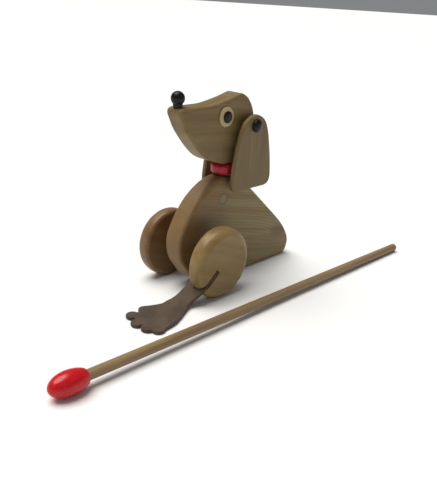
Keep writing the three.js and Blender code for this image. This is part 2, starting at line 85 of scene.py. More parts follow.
class Wire:
    # A shader socket that can be added, multiplied and so on like a number.
    def __init__(self, graph, socket):
        self.graph = graph
        self.socket = socket

    def maths(self, operation, *others, clamp=False):
        return self.graph.node("Math", {"operation": operation, "use_clamp": clamp}, self, *others)

    def __add__(self, other):
        return self.maths("ADD", other)

    def __sub__(self, other):
        return self.maths("SUBTRACT", other)

    def __mul__(self, other):
        return self.maths("MULTIPLY", other)

    def __truediv__(self, other):
        return self.maths("DIVIDE", other)

    def __pow__(self, other):
        return self.maths("POWER", other)

    def __rsub__(self, other):
        return self.graph.node("Math", {"operation": "SUBTRACT"}, other, self)

    def __rtruediv__(self, other):
        return self.graph.node("Math", {"operation": "DIVIDE"}, other, self)

    __radd__ = __add__
    __rmul__ = __mul__

    # 0 below low, 1 above high, with soft ends
    def step(self, low, high):
        settings = {"interpolation_type": "SMOOTHSTEP"}
        return self.graph.node("MapRange", settings, self, **{"From Min": low, "From Max": high})


class Graph:
    def __init__(self, name):
        self.material = bpy.data.materials.new(name)
        self.material.use_nodes = True
        self.tree = self.material.node_tree
        self.tree.nodes.clear()

    # Adds a node of one type: settings first, then its inputs by order or by name.
    def node(self, kind, settings=None, *ordered, output=0, **named):
        made = self.tree.nodes.new("ShaderNode" + kind)
        for key, value in (settings or {}).items():
            setattr(made, key, value)
        inputs = [socket for socket in made.inputs if socket.enabled]
        pairs = list(zip(inputs, ordered))
        for key, value in named.items():
            pairs.append((next(socket for socket in inputs if socket.name == key), value))
        for socket, value in pairs:
            if isinstance(value, Wire):
                self.tree.links.new(value.socket, socket)
            else:
                socket.default_value = value
        outputs = [socket for socket in made.outputs if socket.enabled]
        if isinstance(output, str):
            return Wire(self, made.outputs[output])
        return Wire(self, outputs[output])

    def colourMix(self, amount, first, second, blend="MIX"):
        settings = {"data_type": "RGBA", "blend_type": blend}
        colours = [c if isinstance(c, Wire) else (*c, 1) for c in (first, second)]
        return self.node("Mix", settings, amount, *colours)

    def noise(self, vector, scale=1.0, detail=2.0, roughness=0.5, distortion=0.0):
        values = {"Scale": scale, "Detail": detail, "Roughness": roughness, "Distortion": distortion}
        return self.node("TexNoise", None, vector, **values)

    # Stretches a place so that noise on it runs longer along some directions.
    def stretched(self, vector, along, v, w):
        return self.node("VectorMath", {"operation": "MULTIPLY"}, vector, (along, v, w))

    # The place on a piece in millimetres, turned so that its first number runs along the grain.
    def place(self, turn=(0, 0, 0), offset=(0, 0, 0)):
        objectPlace = self.node("TexCoord", None, output="Object")
        values = {"Location": offset, "Rotation": turn, "Scale": (1000, 1000, 1000)}
        return self.node("Mapping", None, objectPlace, **values)

    def parts(self, vector):
        split = self.tree.nodes.new("ShaderNodeSeparateXYZ")
        self.tree.links.new(vector.socket, split.inputs[0])
        return [Wire(self, socket) for socket in split.outputs]

    # Output nodes have no outputs, so they are made here.
    def output(self, surface):
        made = self.tree.nodes.new("ShaderNodeOutputMaterial")
        self.tree.links.new(surface.socket, made.inputs["Surface"])


def finishGraph(graph, colour, roughness, height=None, bumpDepth=0.1, **more):
    values = {"Base Color": colour, "Roughness": roughness, **more}
    if height is not None:
        depth = {"Strength": 1.0, "Distance": bumpDepth / 1000}
        values["Normal"] = graph.node("Bump", None, Height=height, **depth)
    graph.output(graph.node("BsdfPrincipled", None, **values))
    return graph.material


alongY = (0, 0, -math.pi / 2)  # turns a piece's Y into the grain's direction
alongZ = (0, math.pi / 2, 0)
alongX = (0, 0, 0)


# Sawn or turned wood: rings about a pith line outside the piece, fibres, flecks and broad bands.
def wood(name, look, turn, pith, knots=(), heart=None):
    graph = Graph(name)
    place = graph.place(turn)
    slow = graph.noise(graph.stretched(place, 0.006, 0.03, 0.03), detail=2)
    along, across, up = graph.parts(place)
    bend = (slow - 0.5) * look["wander"]
    distance = ((across - pith[0]) ** 2 + (up - pith[1]) ** 2) ** 0.5 + bend
    swirl = None
    for knotAlong, knotUp, size in knots:
        away = ((along - knotAlong) ** 2 / 6 + (up - knotUp) ** 2) / (size * size)
        near = 1 / (1 + away * away)
        distance = distance + near * size * 0.55
        swirl = near if swirl is None else swirl + near
    ring = (distance / look["ringWidth"] + (slow - 0.5) * 2).maths("FRACT")
    late = ring ** 2.5 * (1 - ring.step(0.9, 1.0))
    fibre = graph.noise(graph.stretched(place, 0.05, 2.0, 2.0), detail=4, roughness=0.6)
    band = graph.noise(graph.stretched(place, 0.004, 0.09, 0.09), detail=3)
    fleck = graph.noise(graph.stretched(place, 0.3, 2.6, 2.6), detail=1).step(0.62, 0.72)
    patch = graph.noise(place, scale=0.03, detail=2)
    colour = graph.colourMix(band.step(0.35, 0.68), look["pale"], look["warm"])
    colour = graph.colourMix(late * look["ringStrength"], colour, look["dark"])
    colour = graph.colourMix(fleck * look["fleckStrength"], colour, look["dark"])
    colour = graph.colourMix(fibre.step(0.5, 0.8) * 0.3, colour, look["dark"])
    colour = graph.colourMix(patch.step(0.4, 0.7) * 0.25, colour, look["warm"])
    if swirl is not None:
        colour = graph.colourMix(swirl.step(0.5, 1.0) * 0.45, colour, look["dark"])
    if heart is not None:
        wander = (patch - 0.5) * 30
        colour = graph.colourMix((along + wander).step(*heart) * 0.7, colour, look["heart"])
    roughness = look["roughness"] + (fibre - 0.5) * 0.25 + (patch - 0.5) * 0.15
    height = fibre * 0.6 - fleck * 0.5 - late * 0.25
    return finishGraph(graph, colour, roughness, height, look["grainDepth"], **look["surface"])


# Paint or lacquer over turned wood: a smooth skin with faint streaks, dull patches and worn spots.
def paint(name, look, turn):
    graph = Graph(name)
    place = graph.place(turn)
    streak = graph.noise(graph.stretched(place, 0.05, 0.8, 0.8), detail=3)
    patch = graph.noise(place, scale=0.08, detail=3)
    wear = graph.noise(place, scale=0.35, detail=5, roughness=0.65).step(0.66, 0.74)
    peel = graph.noise(place, scale=0.9, detail=1)
    colour = graph.colourMix(streak.step(0.35, 0.7), look["colour"], look["streak"])
    colour = graph.colourMix(wear * look["wear"], colour, look["worn"])
    roughness = look["roughness"] + patch.step(0.4, 0.75) * 0.14 + wear * 0.15
    height = peel * 0.5 + streak * 0.4 - wear * 0.4
    return finishGraph(graph, colour, roughness, height, look["depth"], **look["surface"])


def leatherMaterial(name, look):
    graph = Graph(name)
    place = graph.place()
    pore = graph.node("TexVoronoi", {"feature": "F1"}, place, Scale=0.9, output="Distance")
    crease = graph.noise(place, scale=0.25, detail=5, roughness=0.6, distortion=0.6)
    patch = graph.noise(place, scale=0.045, detail=3)
    scuff = graph.noise(graph.stretched(place, 0.5, 0.12, 0.5), detail=4).step(0.6, 0.75)
    colour = graph.colourMix(patch.step(0.35, 0.65), look["dark"], look["pale"])
    colour = graph.colourMix(scuff * 0.35, colour, look["scuffed"])
    colour = graph.colourMix(pore.step(0.55, 0.1) * 0.3, colour, look["pit"])
    roughness = look["roughness"] + (crease - 0.5) * 0.3 - scuff * 0.1
    height = pore * 0.5 + crease * 0.9
    return finishGraph(graph, colour, roughness, height, look["depth"], **look["surface"])


boardLook = {
    "pale": (0.290, 0.236, 0.108),
    "warm": (0.240, 0.160, 0.062),
    "dark": (0.115, 0.062, 0.022),
    "heart": (0.205, 0.110, 0.040),  # redder wood towards one end
    "ringWidth": 3.6,
    "ringStrength": 0.5,
    "fleckStrength": 0.3,
    "wander": 9.0,
    "roughness": 0.46,
    "grainDepth": 0.10,
    "surface": {"Coat Weight": 0.06, "Coat Roughness": 0.3, "Specular IOR Level": 0.25},
}
headLook = {
    **boardLook,
    "pale": (0.210, 0.150, 0.060),
    "warm": (0.172, 0.108, 0.038),
    "ringStrength": 0.28,
    "fleckStrength": 0.45,
    "wander": 5.0,
}
earLook = {
    **headLook,
    "pale": (0.208, 0.152, 0.066),
    "warm": (0.164, 0.105, 0.040),
    "ringStrength": 0.4,
    "fleckStrength": 0.12,
}
wheelLook = {
    **boardLook,
    "pale": (0.300, 0.215, 0.080),
    "warm": (0.250, 0.150, 0.054),
    "ringWidth": 2.6,
    "ringStrength": 0.3,
    "fleckStrength": 0.15,
    "wander": 4.0,
    "roughness": 0.38,
    "grainDepth": 0.05,
    "surface": {"Coat Weight": 0.15, "Coat Roughness": 0.22, "Specular IOR Level": 0.25},
}
# The far (right) wheel's copy of the wheel wood, darker and redder: painted shade standing in for the
# missing key light and warm bounce on that side.
shadedWheelLook = {
    **wheelLook,
    "pale": (0.220, 0.130, 0.058),
    "warm": (0.180, 0.092, 0.040),
    "ringStrength": 0.45,
}
# The right wheel takes the copy with painted shade, the left one the plain wheel wood.
wheelLooks = {"left": wheelLook, "right": shadedWheelLook}
dowelLook = {**wheelLook, "warm": (0.24, 0.165, 0.070), "ringWidth": 1.8}
pinLook = {**dowelLook, "pale": (0.225, 0.190, 0.090), "warm": (0.185, 0.150, 0.068)}
stickLook = {
    **dowelLook,
    "pale": (0.290, 0.200, 0.098),
    "warm": (0.215, 0.138, 0.066),
    "dark": (0.09, 0.055, 0.026),
    "ringWidth": 2.2,
    "roughness": 0.42,
}
eyeLook = {
    **wheelLook,
    "pale": (0.46, 0.375, 0.185),
    "warm": (0.40, 0.31, 0.145),
    "dark": (0.25, 0.17, 0.08),
    "ringWidth": 1.5,
    "roughness": 0.35,
}
collarLook = {
    "colour": (0.42, 0.006, 0.022),
    "streak": (0.28, 0.004, 0.016),
    "worn": (0.52, 0.06, 0.06),
    "wear": 0.4,
    "roughness": 0.26,
    "depth": 0.05,
    "surface": {"Coat Weight": 0.15, "Coat Roughness": 0.14, "Specular IOR Level": 0.3},
}
handleLook = {
    **collarLook,
    "colour": (0.62, 0.005, 0.010),
    "streak": (0.42, 0.004, 0.008),
    "worn": (0.60, 0.06, 0.04),
}
blackLook = {
    "colour": (0.004, 0.004, 0.0045),
    "streak": (0.010, 0.0095, 0.009),
    "worn": (0.03, 0.027, 0.024),
    "wear": 0.4,
    "roughness": 0.3,
    "depth": 0.04,
    "surface": {"Coat Weight": 0.06, "Coat Roughness": 0.12, "Specular IOR Level": 0.18},
}
leatherLook = {
    "dark": (0.068, 0.046, 0.030),
    "pale": (0.098, 0.069, 0.046),
    "scuffed": (0.14, 0.105, 0.078),
    "pit": (0.035, 0.024, 0.017),
    "roughness": 0.66,
    "depth": 0.16,
    "surface": {"Sheen Weight": 0.08, "Sheen Roughness": 0.5, "Specular IOR Level": 0.2},
}


# ---- mesh helpers

# The same soft line through points as the CAD's, sampled finely.
def softLine(points, steps=10):
    known = [np.array(point, float) for point in points]
    count = len(known)
    line = [known[0]]
    for i in range(count - 1):
        before, start, end = known[max(i - 1, 0)], known[i], known[i + 1]
        after = known[min(i + 2, count - 1)]
        leave = (end - before) / 2
        arrive = (after - start) / 2
        for k in range(1, steps + 1):
            t = k / steps
            line.append(
                (2 * start - 2 * end + leave + arrive) * t ** 3
                + (-3 * start + 3 * end - 2 * leave - arrive) * t ** 2
                + leave * t + start
            )
    return line


# A rounded corner between two points, bending round a third.
def softCorner(start, corner, end, steps=8):
    start, corner, end = (np.array(point, float) for point in (start, corner, end))
    ts = [k / steps for k in range(steps + 1)]
    return [(1 - t) ** 2 * start + 2 * t * (1 - t) * corner + t * t * end for t in ts]


# Points spaced evenly round a closed outline, anticlockwise.
def evenly(points, spacing):
    points = np.array(points, float)
    keep = np.linalg.norm(points - np.roll(points, 1, axis=0), axis=1) > 1e-4
    points = points[keep]
    following = np.roll(points, -1, axis=0)
    area = np.sum(points[:, 0] * following[:, 1] - following[:, 0] * points[:, 1])
    if area < 0:
        points = points[::-1]
    closed = np.vstack([points, points[:1]])
    travelled = np.concatenate([[0], np.cumsum(np.linalg.norm(np.diff(closed, axis=0), axis=1))])
    places = np.linspace(0, travelled[-1], round(travelled[-1] / spacing), endpoint=False)
    return np.column_stack([np.interp(places, travelled, closed[:, k]) for k in (0, 1)])


# Outward directions, evened out so that a rounding doesn't fold over itself at a tight bend.
def outwardNormals(outline, evening=4):
    ahead = np.roll(outline, -1, axis=0) - np.roll(outline, 1, axis=0)
    normals = np.column_stack([ahead[:, 1], -ahead[:, 0]])
    for _ in range(evening):
        normals /= np.linalg.norm(normals, axis=1)[:, None]
        normals = normals + np.roll(normals, 1, axis=0) + np.roll(normals, -1, axis=0)
    return normals / np.linalg.norm(normals, axis=1)[:, None]


# Triangles that fill an outline, with more points inside it where they are given.
def filled(outline, inside=()):
    points = [Vector(point) for point in outline] + [Vector(point) for point in inside]
    count = len(outline)
    edges = [(i, (i + 1) % count) for i in range(count)]
    made = delaunay_2d_cdt(points, edges, [], 1, 1e-6)
    return [tuple(point) for point in made[0]], [tuple(face) for face in made[2]], made[3]


# A board on both sides of x = middle: outline in (y, z), with a rounding that may vary round it.
def boardMesh(outline, middle, halfWidth, edge, steps=6):
    outline = evenly(outline, 1.2)
    normals = outwardNormals(outline)
    if callable(edge):
        rounding = np.array([edge(y, z) for y, z in outline])
    else:
        rounding = np.full(len(outline), edge)
    count = len(outline)
    points, faces = [], []
    for k in range(2 * steps + 2):
        side = -1 if k <= steps else 1
        angle = math.pi / 2 * (k / steps if side < 0 else (2 * steps + 1 - k) / steps)
        inset = rounding * (1 - math.sin(angle))
        xs = middle + side * (halfWidth - rounding * (1 - math.cos(angle)))
        flat = outline - normals * inset[:, None]
        points.append(np.column_stack([xs, flat]))
    rings = len(points)
    for k in range(rings - 1):
        for i in range(count):
            j = (i + 1) % count
            faces.append((k * count + i, k * count + j, (k + 1) * count + j, (k + 1) * count + i))
    points = np.vstack(points)
    for ring, turned in ((0, True), (rings - 1, False)):
        first = ring * count
        flat = points[first:first + count]
        made, triangles, sources = filled(flat[:, 1:])
        place = [first + source[0] for source in sources]
        for triangle in triangles:
            corners = [place[c] for c in triangle]
            faces.append(tuple(corners[::-1] if turned else corners))
    return points, faces


# A turned piece from (radius, height) points; a profile that leaves the axis open makes a ring.
def turnedMesh(profile, steps=72):
    points, faces, rings = [], [], []
    for radius, height in profile:
        if radius < 1e-6:
            rings.append([len(points)] * steps)
            points.append((0, 0, height))
            continue
        rings.append(list(range(len(points), len(points) + steps)))
        for k in range(steps):
            angle = 2 * math.pi * k / steps
            points.append((radius * math.cos(angle), radius * math.sin(angle), height))
    pairs = list(zip(rings, rings[1:]))
    if profile[0][0] > 1e-6 and profile[-1][0] > 1e-6:
        pairs.append((rings[-1], rings[0]))
    for low, high in pairs:
        for k in range(steps):
            j = (k + 1) % steps
            corners = [low[k], low[j], high[j], high[k]]
            kept = [c for i, c in enumerate(corners) if c != corners[i - 1]]
            if len(set(kept)) > 2:
                faces.append(tuple(kept))
    return np.array(points, float), faces


def arc(centreRadius, centreHeight, size, start, end, steps=6):
    angles = [math.radians(start + (end - start) * k / steps) for k in range(steps + 1)]
    return [(centreRadius + size * math.cos(a), centreHeight + size * math.sin(a)) for a in angles]


# Profile of a rod, disc or ring of this length, with a rounding at each end.
def rodProfile(radius, length, low, high, bore=0.0):
    inner = [(bore, 0)] if bore else [(0, 0)]
    outer = [(bore, length)] if bore else [(0, length)]
    start = arc(radius - low, low, low, -90, 0)
    end = arc(radius - high, length - high, high, 0, 90)
    return inner + start + end + outer


# Stands a turned piece at start, along a direction.
def stood(points, start, direction):
    turn = Vector((0, 0, 1)).rotation_difference(Vector(direction)).to_matrix()
    return np.array(points) @ np.array(turn).T + np.array(start)


def rawObject(name, points, faces):
    mesh = bpy.data.meshes.new(name)
    mesh.from_pydata([tuple(p) for p in metres(points)], [], faces)
    mesh.validate()
    made = bpy.data.objects.new(name, mesh)
    bpy.context.scene.collection.objects.link(made)
    return made


# Cuts other shapes out of a mesh for good.
def carve(made, cutters):
    for points, faces in cutters:
        cutter = rawObject("cutter", points, faces)
        modifier = made.modifiers.new("cut", "BOOLEAN")
        modifier.operation = "DIFFERENCE"
        modifier.solver = "EXACT"
        modifier.object = cutter
        ready = made.evaluated_get(bpy.context.evaluated_depsgraph_get())
        mesh = bpy.data.meshes.new_from_object(ready)
        made.modifiers.clear()
        made.data = mesh
        bpy.data.objects.remove(cutter)


def smooth(made, sharp=35):
    made.data.shade_smooth()
    made.data.set_sharp_from_angle(angle=math.radians(sharp))
    weighted = made.modifiers.new("even shading", "WEIGHTED_NORMAL")
    weighted.keep_sharp = True
    weighted.weight = 80


def addPiece(name, mesh, body, material, nodes=None, cutters=()):
    made = rawObject(name, *mesh)
    carve(made, cutters)
    made.data.materials.clear()
    made.data.materials.append(material)
    smooth(made)
    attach(made, body)
    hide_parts(*(nodes or [name.replace("shown_", "")]))
    return made


def rodAlong(start, direction, radius, length, low=1.0, high=1.0, bore=0.0, steps=72):
    points, faces = turnedMesh(rodProfile(radius, length, low, high, bore), steps)
    return stood(points, start, direction), faces


# A plain round cutter between two points.
def boreAlong(start, direction, radius, length):
    return rodAlong(start, direction, radius, length, 0.01, 0.01, steps=64)


sides = (("left", 1), ("right", -1))
gap = 0.3  # between pieces that touch

print("helpers ready")

# ---- body

bodySizes = {
    "edge": 3.6,  # rounding along the board's edges
    "shoulderEdge": 7.5,  # more rounding under the collar
    "shoulderFrom": 96,
    "seatCorner": 7,
    "grainTilt": 0.22,  # the grain drops towards the rear
    "socketRadius": 5.3,
    "socketFoot": 26,  # from the middle of the opening down to the end of the bore
}
bodyLow, bodyHigh = boxOf("body")
rearReach, bodyHeight, chestReach = bodyHigh[1], bodyHigh[2], -bodyLow[1]
halfBoard = bodyHigh[0]
neckY = centreOf("neck_dowel")[1]
collarLow, collarHigh = boxOf("collar_ring")
collarRadius = (collarHigh[1] - collarLow[1]) / 2


def bodyOutline():
    rear = lambda reach, height: (reach * rearReach, height * bodyHeight)
    chest = lambda reach, height: (-reach * chestReach, height * bodyHeight)
    corner = bodySizes["seatCorner"]
    back = softLine([
        (neckY + collarRadius, bodyHeight), rear(0.49, 0.835), rear(0.68, 0.618), rear(0.872, 0.395),
        rear(0.965, 0.25), rear(1, 0.14), rear(0.985, 0.05),
    ])
    under = softCorner(rear(0.985, 0.05), rear(0.965, 0), rear(0.9, 0))
    front = softLine([
        rear(0.52, 0), rear(0.3, 0.018), rear(0.1, 0.045), chest(0.22, 0.092), chest(0.62, 0.2),
        chest(0.9, 0.31), chest(1, 0.43), chest(0.97, 0.52), chest(0.82, 0.61), chest(0.56, 0.72),
        chest(0.21, 0.83), (0.08 * neckY, 0.904 * bodyHeight), (0.33 * neckY, 0.96 * bodyHeight),
        (neckY - collarRadius, bodyHeight),
    ])
    seatBack = softCorner((neckY + collarRadius - corner, bodyHeight), back[0], back[4])
    seatFront = softCorner(front[-5], front[-1], (neckY - collarRadius + corner, bodyHeight))
    return seatBack + back[5:] + under[1:] + front[:-5] + seatFront


def bodyEdge(y, z):
    share = min(max((z - bodySizes["shoulderFrom"]) / (bodyHeight - bodySizes["shoulderFrom"]), 0), 1)
    eased = share * share * (3 - 2 * share)
    return bodySizes["edge"] + (bodySizes["shoulderEdge"] - bodySizes["edge"]) * eased


pinCentre = centreOf("neck_pin")
pinRadius = (boxOf("neck_pin")[1][2] - boxOf("neck_pin")[0][2]) / 2
neckRadius = (boxOf("neck_dowel")[1][0] - boxOf("neck_dowel")[0][0]) / 2
axleCentre = centreOf("axle")
axleRadius = (boxOf("axle")[1][2] - boxOf("axle")[0][2]) / 2
openings = frame["record"]["physics"].get("openings", [])
socketBox = next(item for item in openings if item["name"] == "stick_socket")["box_m"]
socketIn = (millimetres(socketBox[0]) + millimetres(socketBox[1])) / 2
slope = np.array([0, (0.872 - 0.49) * rearReach, (0.395 - 0.835) * bodyHeight])
slope /= np.linalg.norm(slope)
socketOut = np.array([0, -slope[2], slope[1]])
socketIn = socketIn - slope * 1.0  # the box stands a little down the slope from the bore's axis
socketFoot = socketIn - socketOut * bodySizes["socketFoot"]
bodyTurn = (bodySizes["grainTilt"], 0, -math.pi / 2)
bodyWood = wood("bodyWood", boardLook, bodyTurn, (30, 26), knots=[(110, 62, 9)], heart=(25, -40))
addPiece(
    "shown_body", boardMesh(bodyOutline(), 0, halfBoard, bodyEdge), "dog", bodyWood,
    cutters=[
        boreAlong((0, neckY, bodyHeight - 32), (0, 0, 1), neckRadius + gap, 40),
        boreAlong((-20, axleCentre[1], axleCentre[2]), (1, 0, 0), axleRadius + gap, 40),
        boreAlong((-20, pinCentre[1], pinCentre[2]), (1, 0, 0), pinRadius + gap, 40),
        boreAlong(socketFoot, socketOut, bodySizes["socketRadius"], 50),
    ],
)
print("body made")

# ---- neck: dowel, cross pin and painted collar

neckSizes = {"collarEdge": 4.6, "pinEdge": 0.5}
dowelLow, dowelHigh = boxOf("neck_dowel")
notch = boreAlong((-20, pinCentre[1], pinCentre[2]), (1, 0, 0), pinRadius + gap, 40)
addPiece(
    "shown_neck_dowel",
    rodAlong((0, neckY, dowelLow[2]), (0, 0, 1), neckRadius, dowelHigh[2] - dowelLow[2]),
    "dog", wood("neckWood", dowelLook, alongZ, (30, 8)), cutters=[notch],
)
addPiece(
    "shown_neck_pin",
    rodAlong((-halfBoard, pinCentre[1], pinCentre[2]), (1, 0, 0), pinRadius, 2 * halfBoard,
             neckSizes["pinEdge"], neckSizes["pinEdge"]),
    "dog", wood("pinWood", pinLook, alongX, (3, 96)),
)
addPiece(
    "shown_collar_ring",
    rodAlong((0, neckY, collarLow[2]), (0, 0, 1), collarRadius, collarHigh[2] - collarLow[2],
             neckSizes["collarEdge"], neckSizes["collarEdge"], neckRadius + gap, steps=96),
    "dog", paint("collarPaint", collarLook, alongZ),
)
print("neck made")

# ---- head with nose and eyes

headSizes = {
    "edge": 3.4,
    "snoutEdge": 4.2,  # more rounding at the tip of the snout
    "snoutTop": 66,  # jaw to the top of the snout
    "snoutReach": 80,
    "rear": 35,
    "jawAhead": 10,
    "jawBehind": 14,
}
headLow, headHigh = boxOf("head")
headHeight = headHigh[2] - headLow[2]


def headOutline():
    reachTo, snoutTop = headSizes["snoutReach"], headSizes["snoutTop"]
    dip = headHeight - snoutTop
    jaw = lambda reach, height: (-reach * reachTo, height * snoutTop)
    top = lambda reach, drop: (-reach * reachTo, headHeight - drop)
    back = lambda reach, height: (reach * headSizes["rear"], height * headHeight)
    line = softLine([
        (-headSizes["jawAhead"], 0), jaw(0.24, 0.036), jaw(0.47, 0.137), jaw(0.65, 0.305),
        jaw(0.87, 0.61), jaw(0.965, 0.81), jaw(1, 0.915), jaw(0.965, 0.99), top(0.84, dip), top(0.55, dip),
        top(0.4, dip - 0.9), top(0.14, dip * 0.52), top(-0.06, 1.2), back(0.3, 1), back(0.47, 0.978),
        back(0.65, 0.925), back(0.83, 0.82), back(0.94, 0.7), back(1, 0.54), back(0.94, 0.3),
        back(0.75, 0.1), (headSizes["jawBehind"], 0),
    ])
    return [(neckY + y, headLow[2] + z) for y, z in line]


def headEdge(y, z):
    share = min(max((neckY - 45 - y) / 30, 0), 1)
    return headSizes["edge"] + (headSizes["snoutEdge"] - headSizes["edge"]) * share


noseSizes = {"neckRadius": 5.0, "neckFlare": 1.2, "pegEdge": 0.4}
noseLow, noseHigh = boxOf("nose_ball")
noseRadius = (noseHigh[0] - noseLow[0]) / 2
noseY, noseBallZ = centreOf("nose_ball")[1], noseHigh[2] - noseRadius
nosePegLow, nosePegHigh = boxOf("nose_peg")
nosePegRadius = (nosePegHigh[0] - nosePegLow[0]) / 2
earPegPlace = centreOf("ear_peg_left")
pupilPlace = centreOf("eye_pupil_left")
eyeSizes = {"rim": 1.8, "pupilRise": 2.0, "pupilRadius": 6.3, "shankRadius": 2.5}
earPegRadius = 3.0
headCutters = [
    boreAlong((0, neckY, headLow[2] - 5), (0, 0, 1), neckRadius + gap, 25),
    boreAlong((0, noseY, nosePegLow[2] - gap), (0, 0, 1), nosePegRadius + gap, 40),
]
for label, side in sides:
    headCutters.append(boreAlong((side * 3, *earPegPlace[1:]), (side, 0, 0), earPegRadius + gap, 20))
    shankBore = eyeSizes["shankRadius"] + gap
    headCutters.append(boreAlong((side * 5, *pupilPlace[1:]), (side, 0, 0), shankBore, 20))
addPiece(
    "shown_head", boardMesh(headOutline(), 0, halfBoard, headEdge), "dog",
    wood("headWood", headLook, (0.12, 0, -math.pi / 2), (55, 150)), cutters=headCutters,
)

blackLacquer = paint("blackLacquer", blackLook, alongX)
nosePeg = rodAlong((0, noseY, nosePegLow[2]), (0, 0, 1), nosePegRadius,
                   nosePegHigh[2] - nosePegLow[2], noseSizes["pegEdge"], noseSizes["pegEdge"])
addPiece("shown_nose_peg", nosePeg, "dog", blackLacquer)


# A short neck that flares into a ball, turned in one.
def noseProfile():
    neck, flare = noseSizes["neckRadius"], noseSizes["neckFlare"]
    base = noseLow[2] - noseBallZ
    leaves = math.asin((neck + 0.3) / noseRadius)
    join = -noseRadius * math.cos(leaves)
    ball = [(noseRadius * math.sin(a), -noseRadius * math.cos(a))
            for a in np.linspace(leaves, math.pi, 34)[:-1]]
    foot = [(neck - 0.3, base), (neck, base + 0.3), (neck, join - flare * 0.4)]
    return [(0, base)] + foot + ball + [(0, noseRadius)]


ballPoints, ballFaces = turnedMesh(noseProfile(), 64)
addPiece(
    "shown_nose_ball", (ballPoints + (0, noseY, noseBallZ), ballFaces),
    "dog", blackLacquer,
    cutters=[boreAlong((0, noseY, noseLow[2] - 5), (0, 0, 1), nosePegRadius + gap,
                       nosePegHigh[2] + gap - noseLow[2] + 5)],
)


# A low dome on a short rim, with a shank below it.
def pegProfile(shankRadius, shankDepth, capRadius, base, rise, crown):
    rim = rise * 0.3
    dome = [(capRadius * math.cos(a), base + rim + (rise - rim) * math.sin(a) ** crown)
            for a in (math.radians(9 * k) for k in range(11))]
    dome[-1] = (0, base + rise)
    return [(0, shankDepth), (shankRadius, shankDepth), (shankRadius, base), (capRadius, base)] + dome


eyeWood = wood("eyeWood", eyeLook, (0, 0.4, 1.2), (12, 8))
for label, side in sides:
    discLow, discHigh = boxOf("eye_disc_" + label)
    discRadius = (discHigh[1] - discLow[1]) / 2
    thick = discHigh[0] - discLow[0]
    place = (side * min(abs(discLow[0]), abs(discHigh[0])), *centreOf("eye_disc_" + label)[1:])
    disc = rodAlong(place, (side, 0, 0), discRadius, thick, 0.2, eyeSizes["rim"],
                    eyeSizes["shankRadius"] + gap)
    addPiece("shown_eye_disc_" + label, disc, "dog", eyeWood)
    pupilLow, pupilHigh = boxOf("eye_pupil_" + label)
    outerEnd = max(abs(pupilLow[0]), abs(pupilHigh[0]))
    innerEnd = min(abs(pupilLow[0]), abs(pupilHigh[0]))
    profile = pegProfile(eyeSizes["shankRadius"], innerEnd - halfBoard, eyeSizes["pupilRadius"],
                         outerEnd - halfBoard - eyeSizes["pupilRise"], eyeSizes["pupilRise"], 1)
    points, faces = turnedMesh(profile, 64)
    spot = (side * halfBoard, *centreOf("eye_pupil_" + label)[1:])
    addPiece("shown_eye_pupil_" + label, (stood(points, spot, (side, 0, 0)), faces),
             "dog", blackLacquer)
print("head made")

# ---- ears on their pegs

earSizes = {"edge": 2.2, "rearCorner": 12, "frontCorner": 8, "capRise": 5}
earShares = [(1, -0.83), (0.935, -0.585), (0.815, -0.305), (0.665, -0.07)]
earPiths = {"left": (40, -6), "right": (-34, 9)}
for label, side in sides:
    earLow, earHigh = boxOf("ear_" + label)
    pegY, pegZ = earPegPlace[1:]
    half = (earHigh[1] - earLow[1]) / 2
    rise, drop = earHigh[2] - pegZ, pegZ - earLow[2]
    flank = [(share * half, height * drop) for share, height in earShares] + [(0.44 * half, 0.53 * rise)]
    over = softLine([(-y, z) for y, z in flank] + [(0, rise)] + flank[::-1])
    rearCorner = softCorner((half, -0.83 * drop), (half, -drop), (half - earSizes["rearCorner"], -drop))
    frontCorner = softCorner((earSizes["frontCorner"] - half, -drop), (-half, -drop),
                             (-half, earSizes["frontCorner"] - drop))
    outline = [(pegY + y, pegZ + z) for y, z in over + rearCorner[1:] + frontCorner]
    thick = earHigh[0] - earLow[0]
    middle = (earHigh[0] + earLow[0]) / 2
    hole = boreAlong((middle - 8, pegY, pegZ), (1, 0, 0), earPegRadius + gap, 16)
    earWood = wood("earWood" + label, earLook, alongZ, earPiths[label])
    addPiece("shown_ear_" + label, boardMesh(outline, middle, thick / 2, earSizes["edge"]),
             "ear_flap_" + label, earWood, cutters=[hole])
    spacerLow, spacerHigh = boxOf("ear_spacer_" + label)
    inner = side * min(abs(spacerLow[0]), abs(spacerHigh[0]))
    spacer = rodAlong((inner, pegY, pegZ), (side, 0, 0), (spacerHigh[1] - spacerLow[1]) / 2,
                      spacerHigh[0] - spacerLow[0], 1, 1, earPegRadius + gap)
    addPiece("shown_ear_spacer_" + label, spacer, "dog",
             wood("spacerWood" + label, dowelLook, alongX, (30, 150)))
    pegLow, pegHigh = boxOf("ear_peg_" + label)
    outerEnd, innerEnd = max(abs(pegLow[0]), abs(pegHigh[0])), min(abs(pegLow[0]), abs(pegHigh[0]))
    profile = pegProfile(earPegRadius, innerEnd - halfBoard, (pegHigh[1] - pegLow[1]) / 2,
                         outerEnd - halfBoard - earSizes["capRise"], earSizes["capRise"], 1)
    points, faces = turnedMesh(profile, 64)
    peg = stood(points, (side * halfBoard, pegY, pegZ), (side, 0, 0))
    addPiece("shown_ear_peg_" + label, (peg, faces), "dog", blackLacquer)
print("ears made")

# ---- wheels on their axle

wheelSizes = {
    "outerEdge": 9.0,
    "innerEdge": 4.5,
    "slotDrop": math.radians(40.5),  # slot below the horizontal
    "slotInner": 11.4,  # from the wheel's centre
    "slotLow": 1.0,  # lower wall above the wheel's own radius line
    "slotWidth": 6.0,
}
axleLow, axleHigh = boxOf("axle")
axleLength = axleHigh[0] - axleLow[0]
axleRod = rodAlong((axleLow[0], axleCentre[1], axleCentre[2]), (1, 0, 0), axleRadius, axleLength)
axleWood = wood("axleWood", dowelLook, alongX, (22, 60))
addPiece("shown_axle", axleRod, "wheel_set", axleWood, nodes=["axle"])


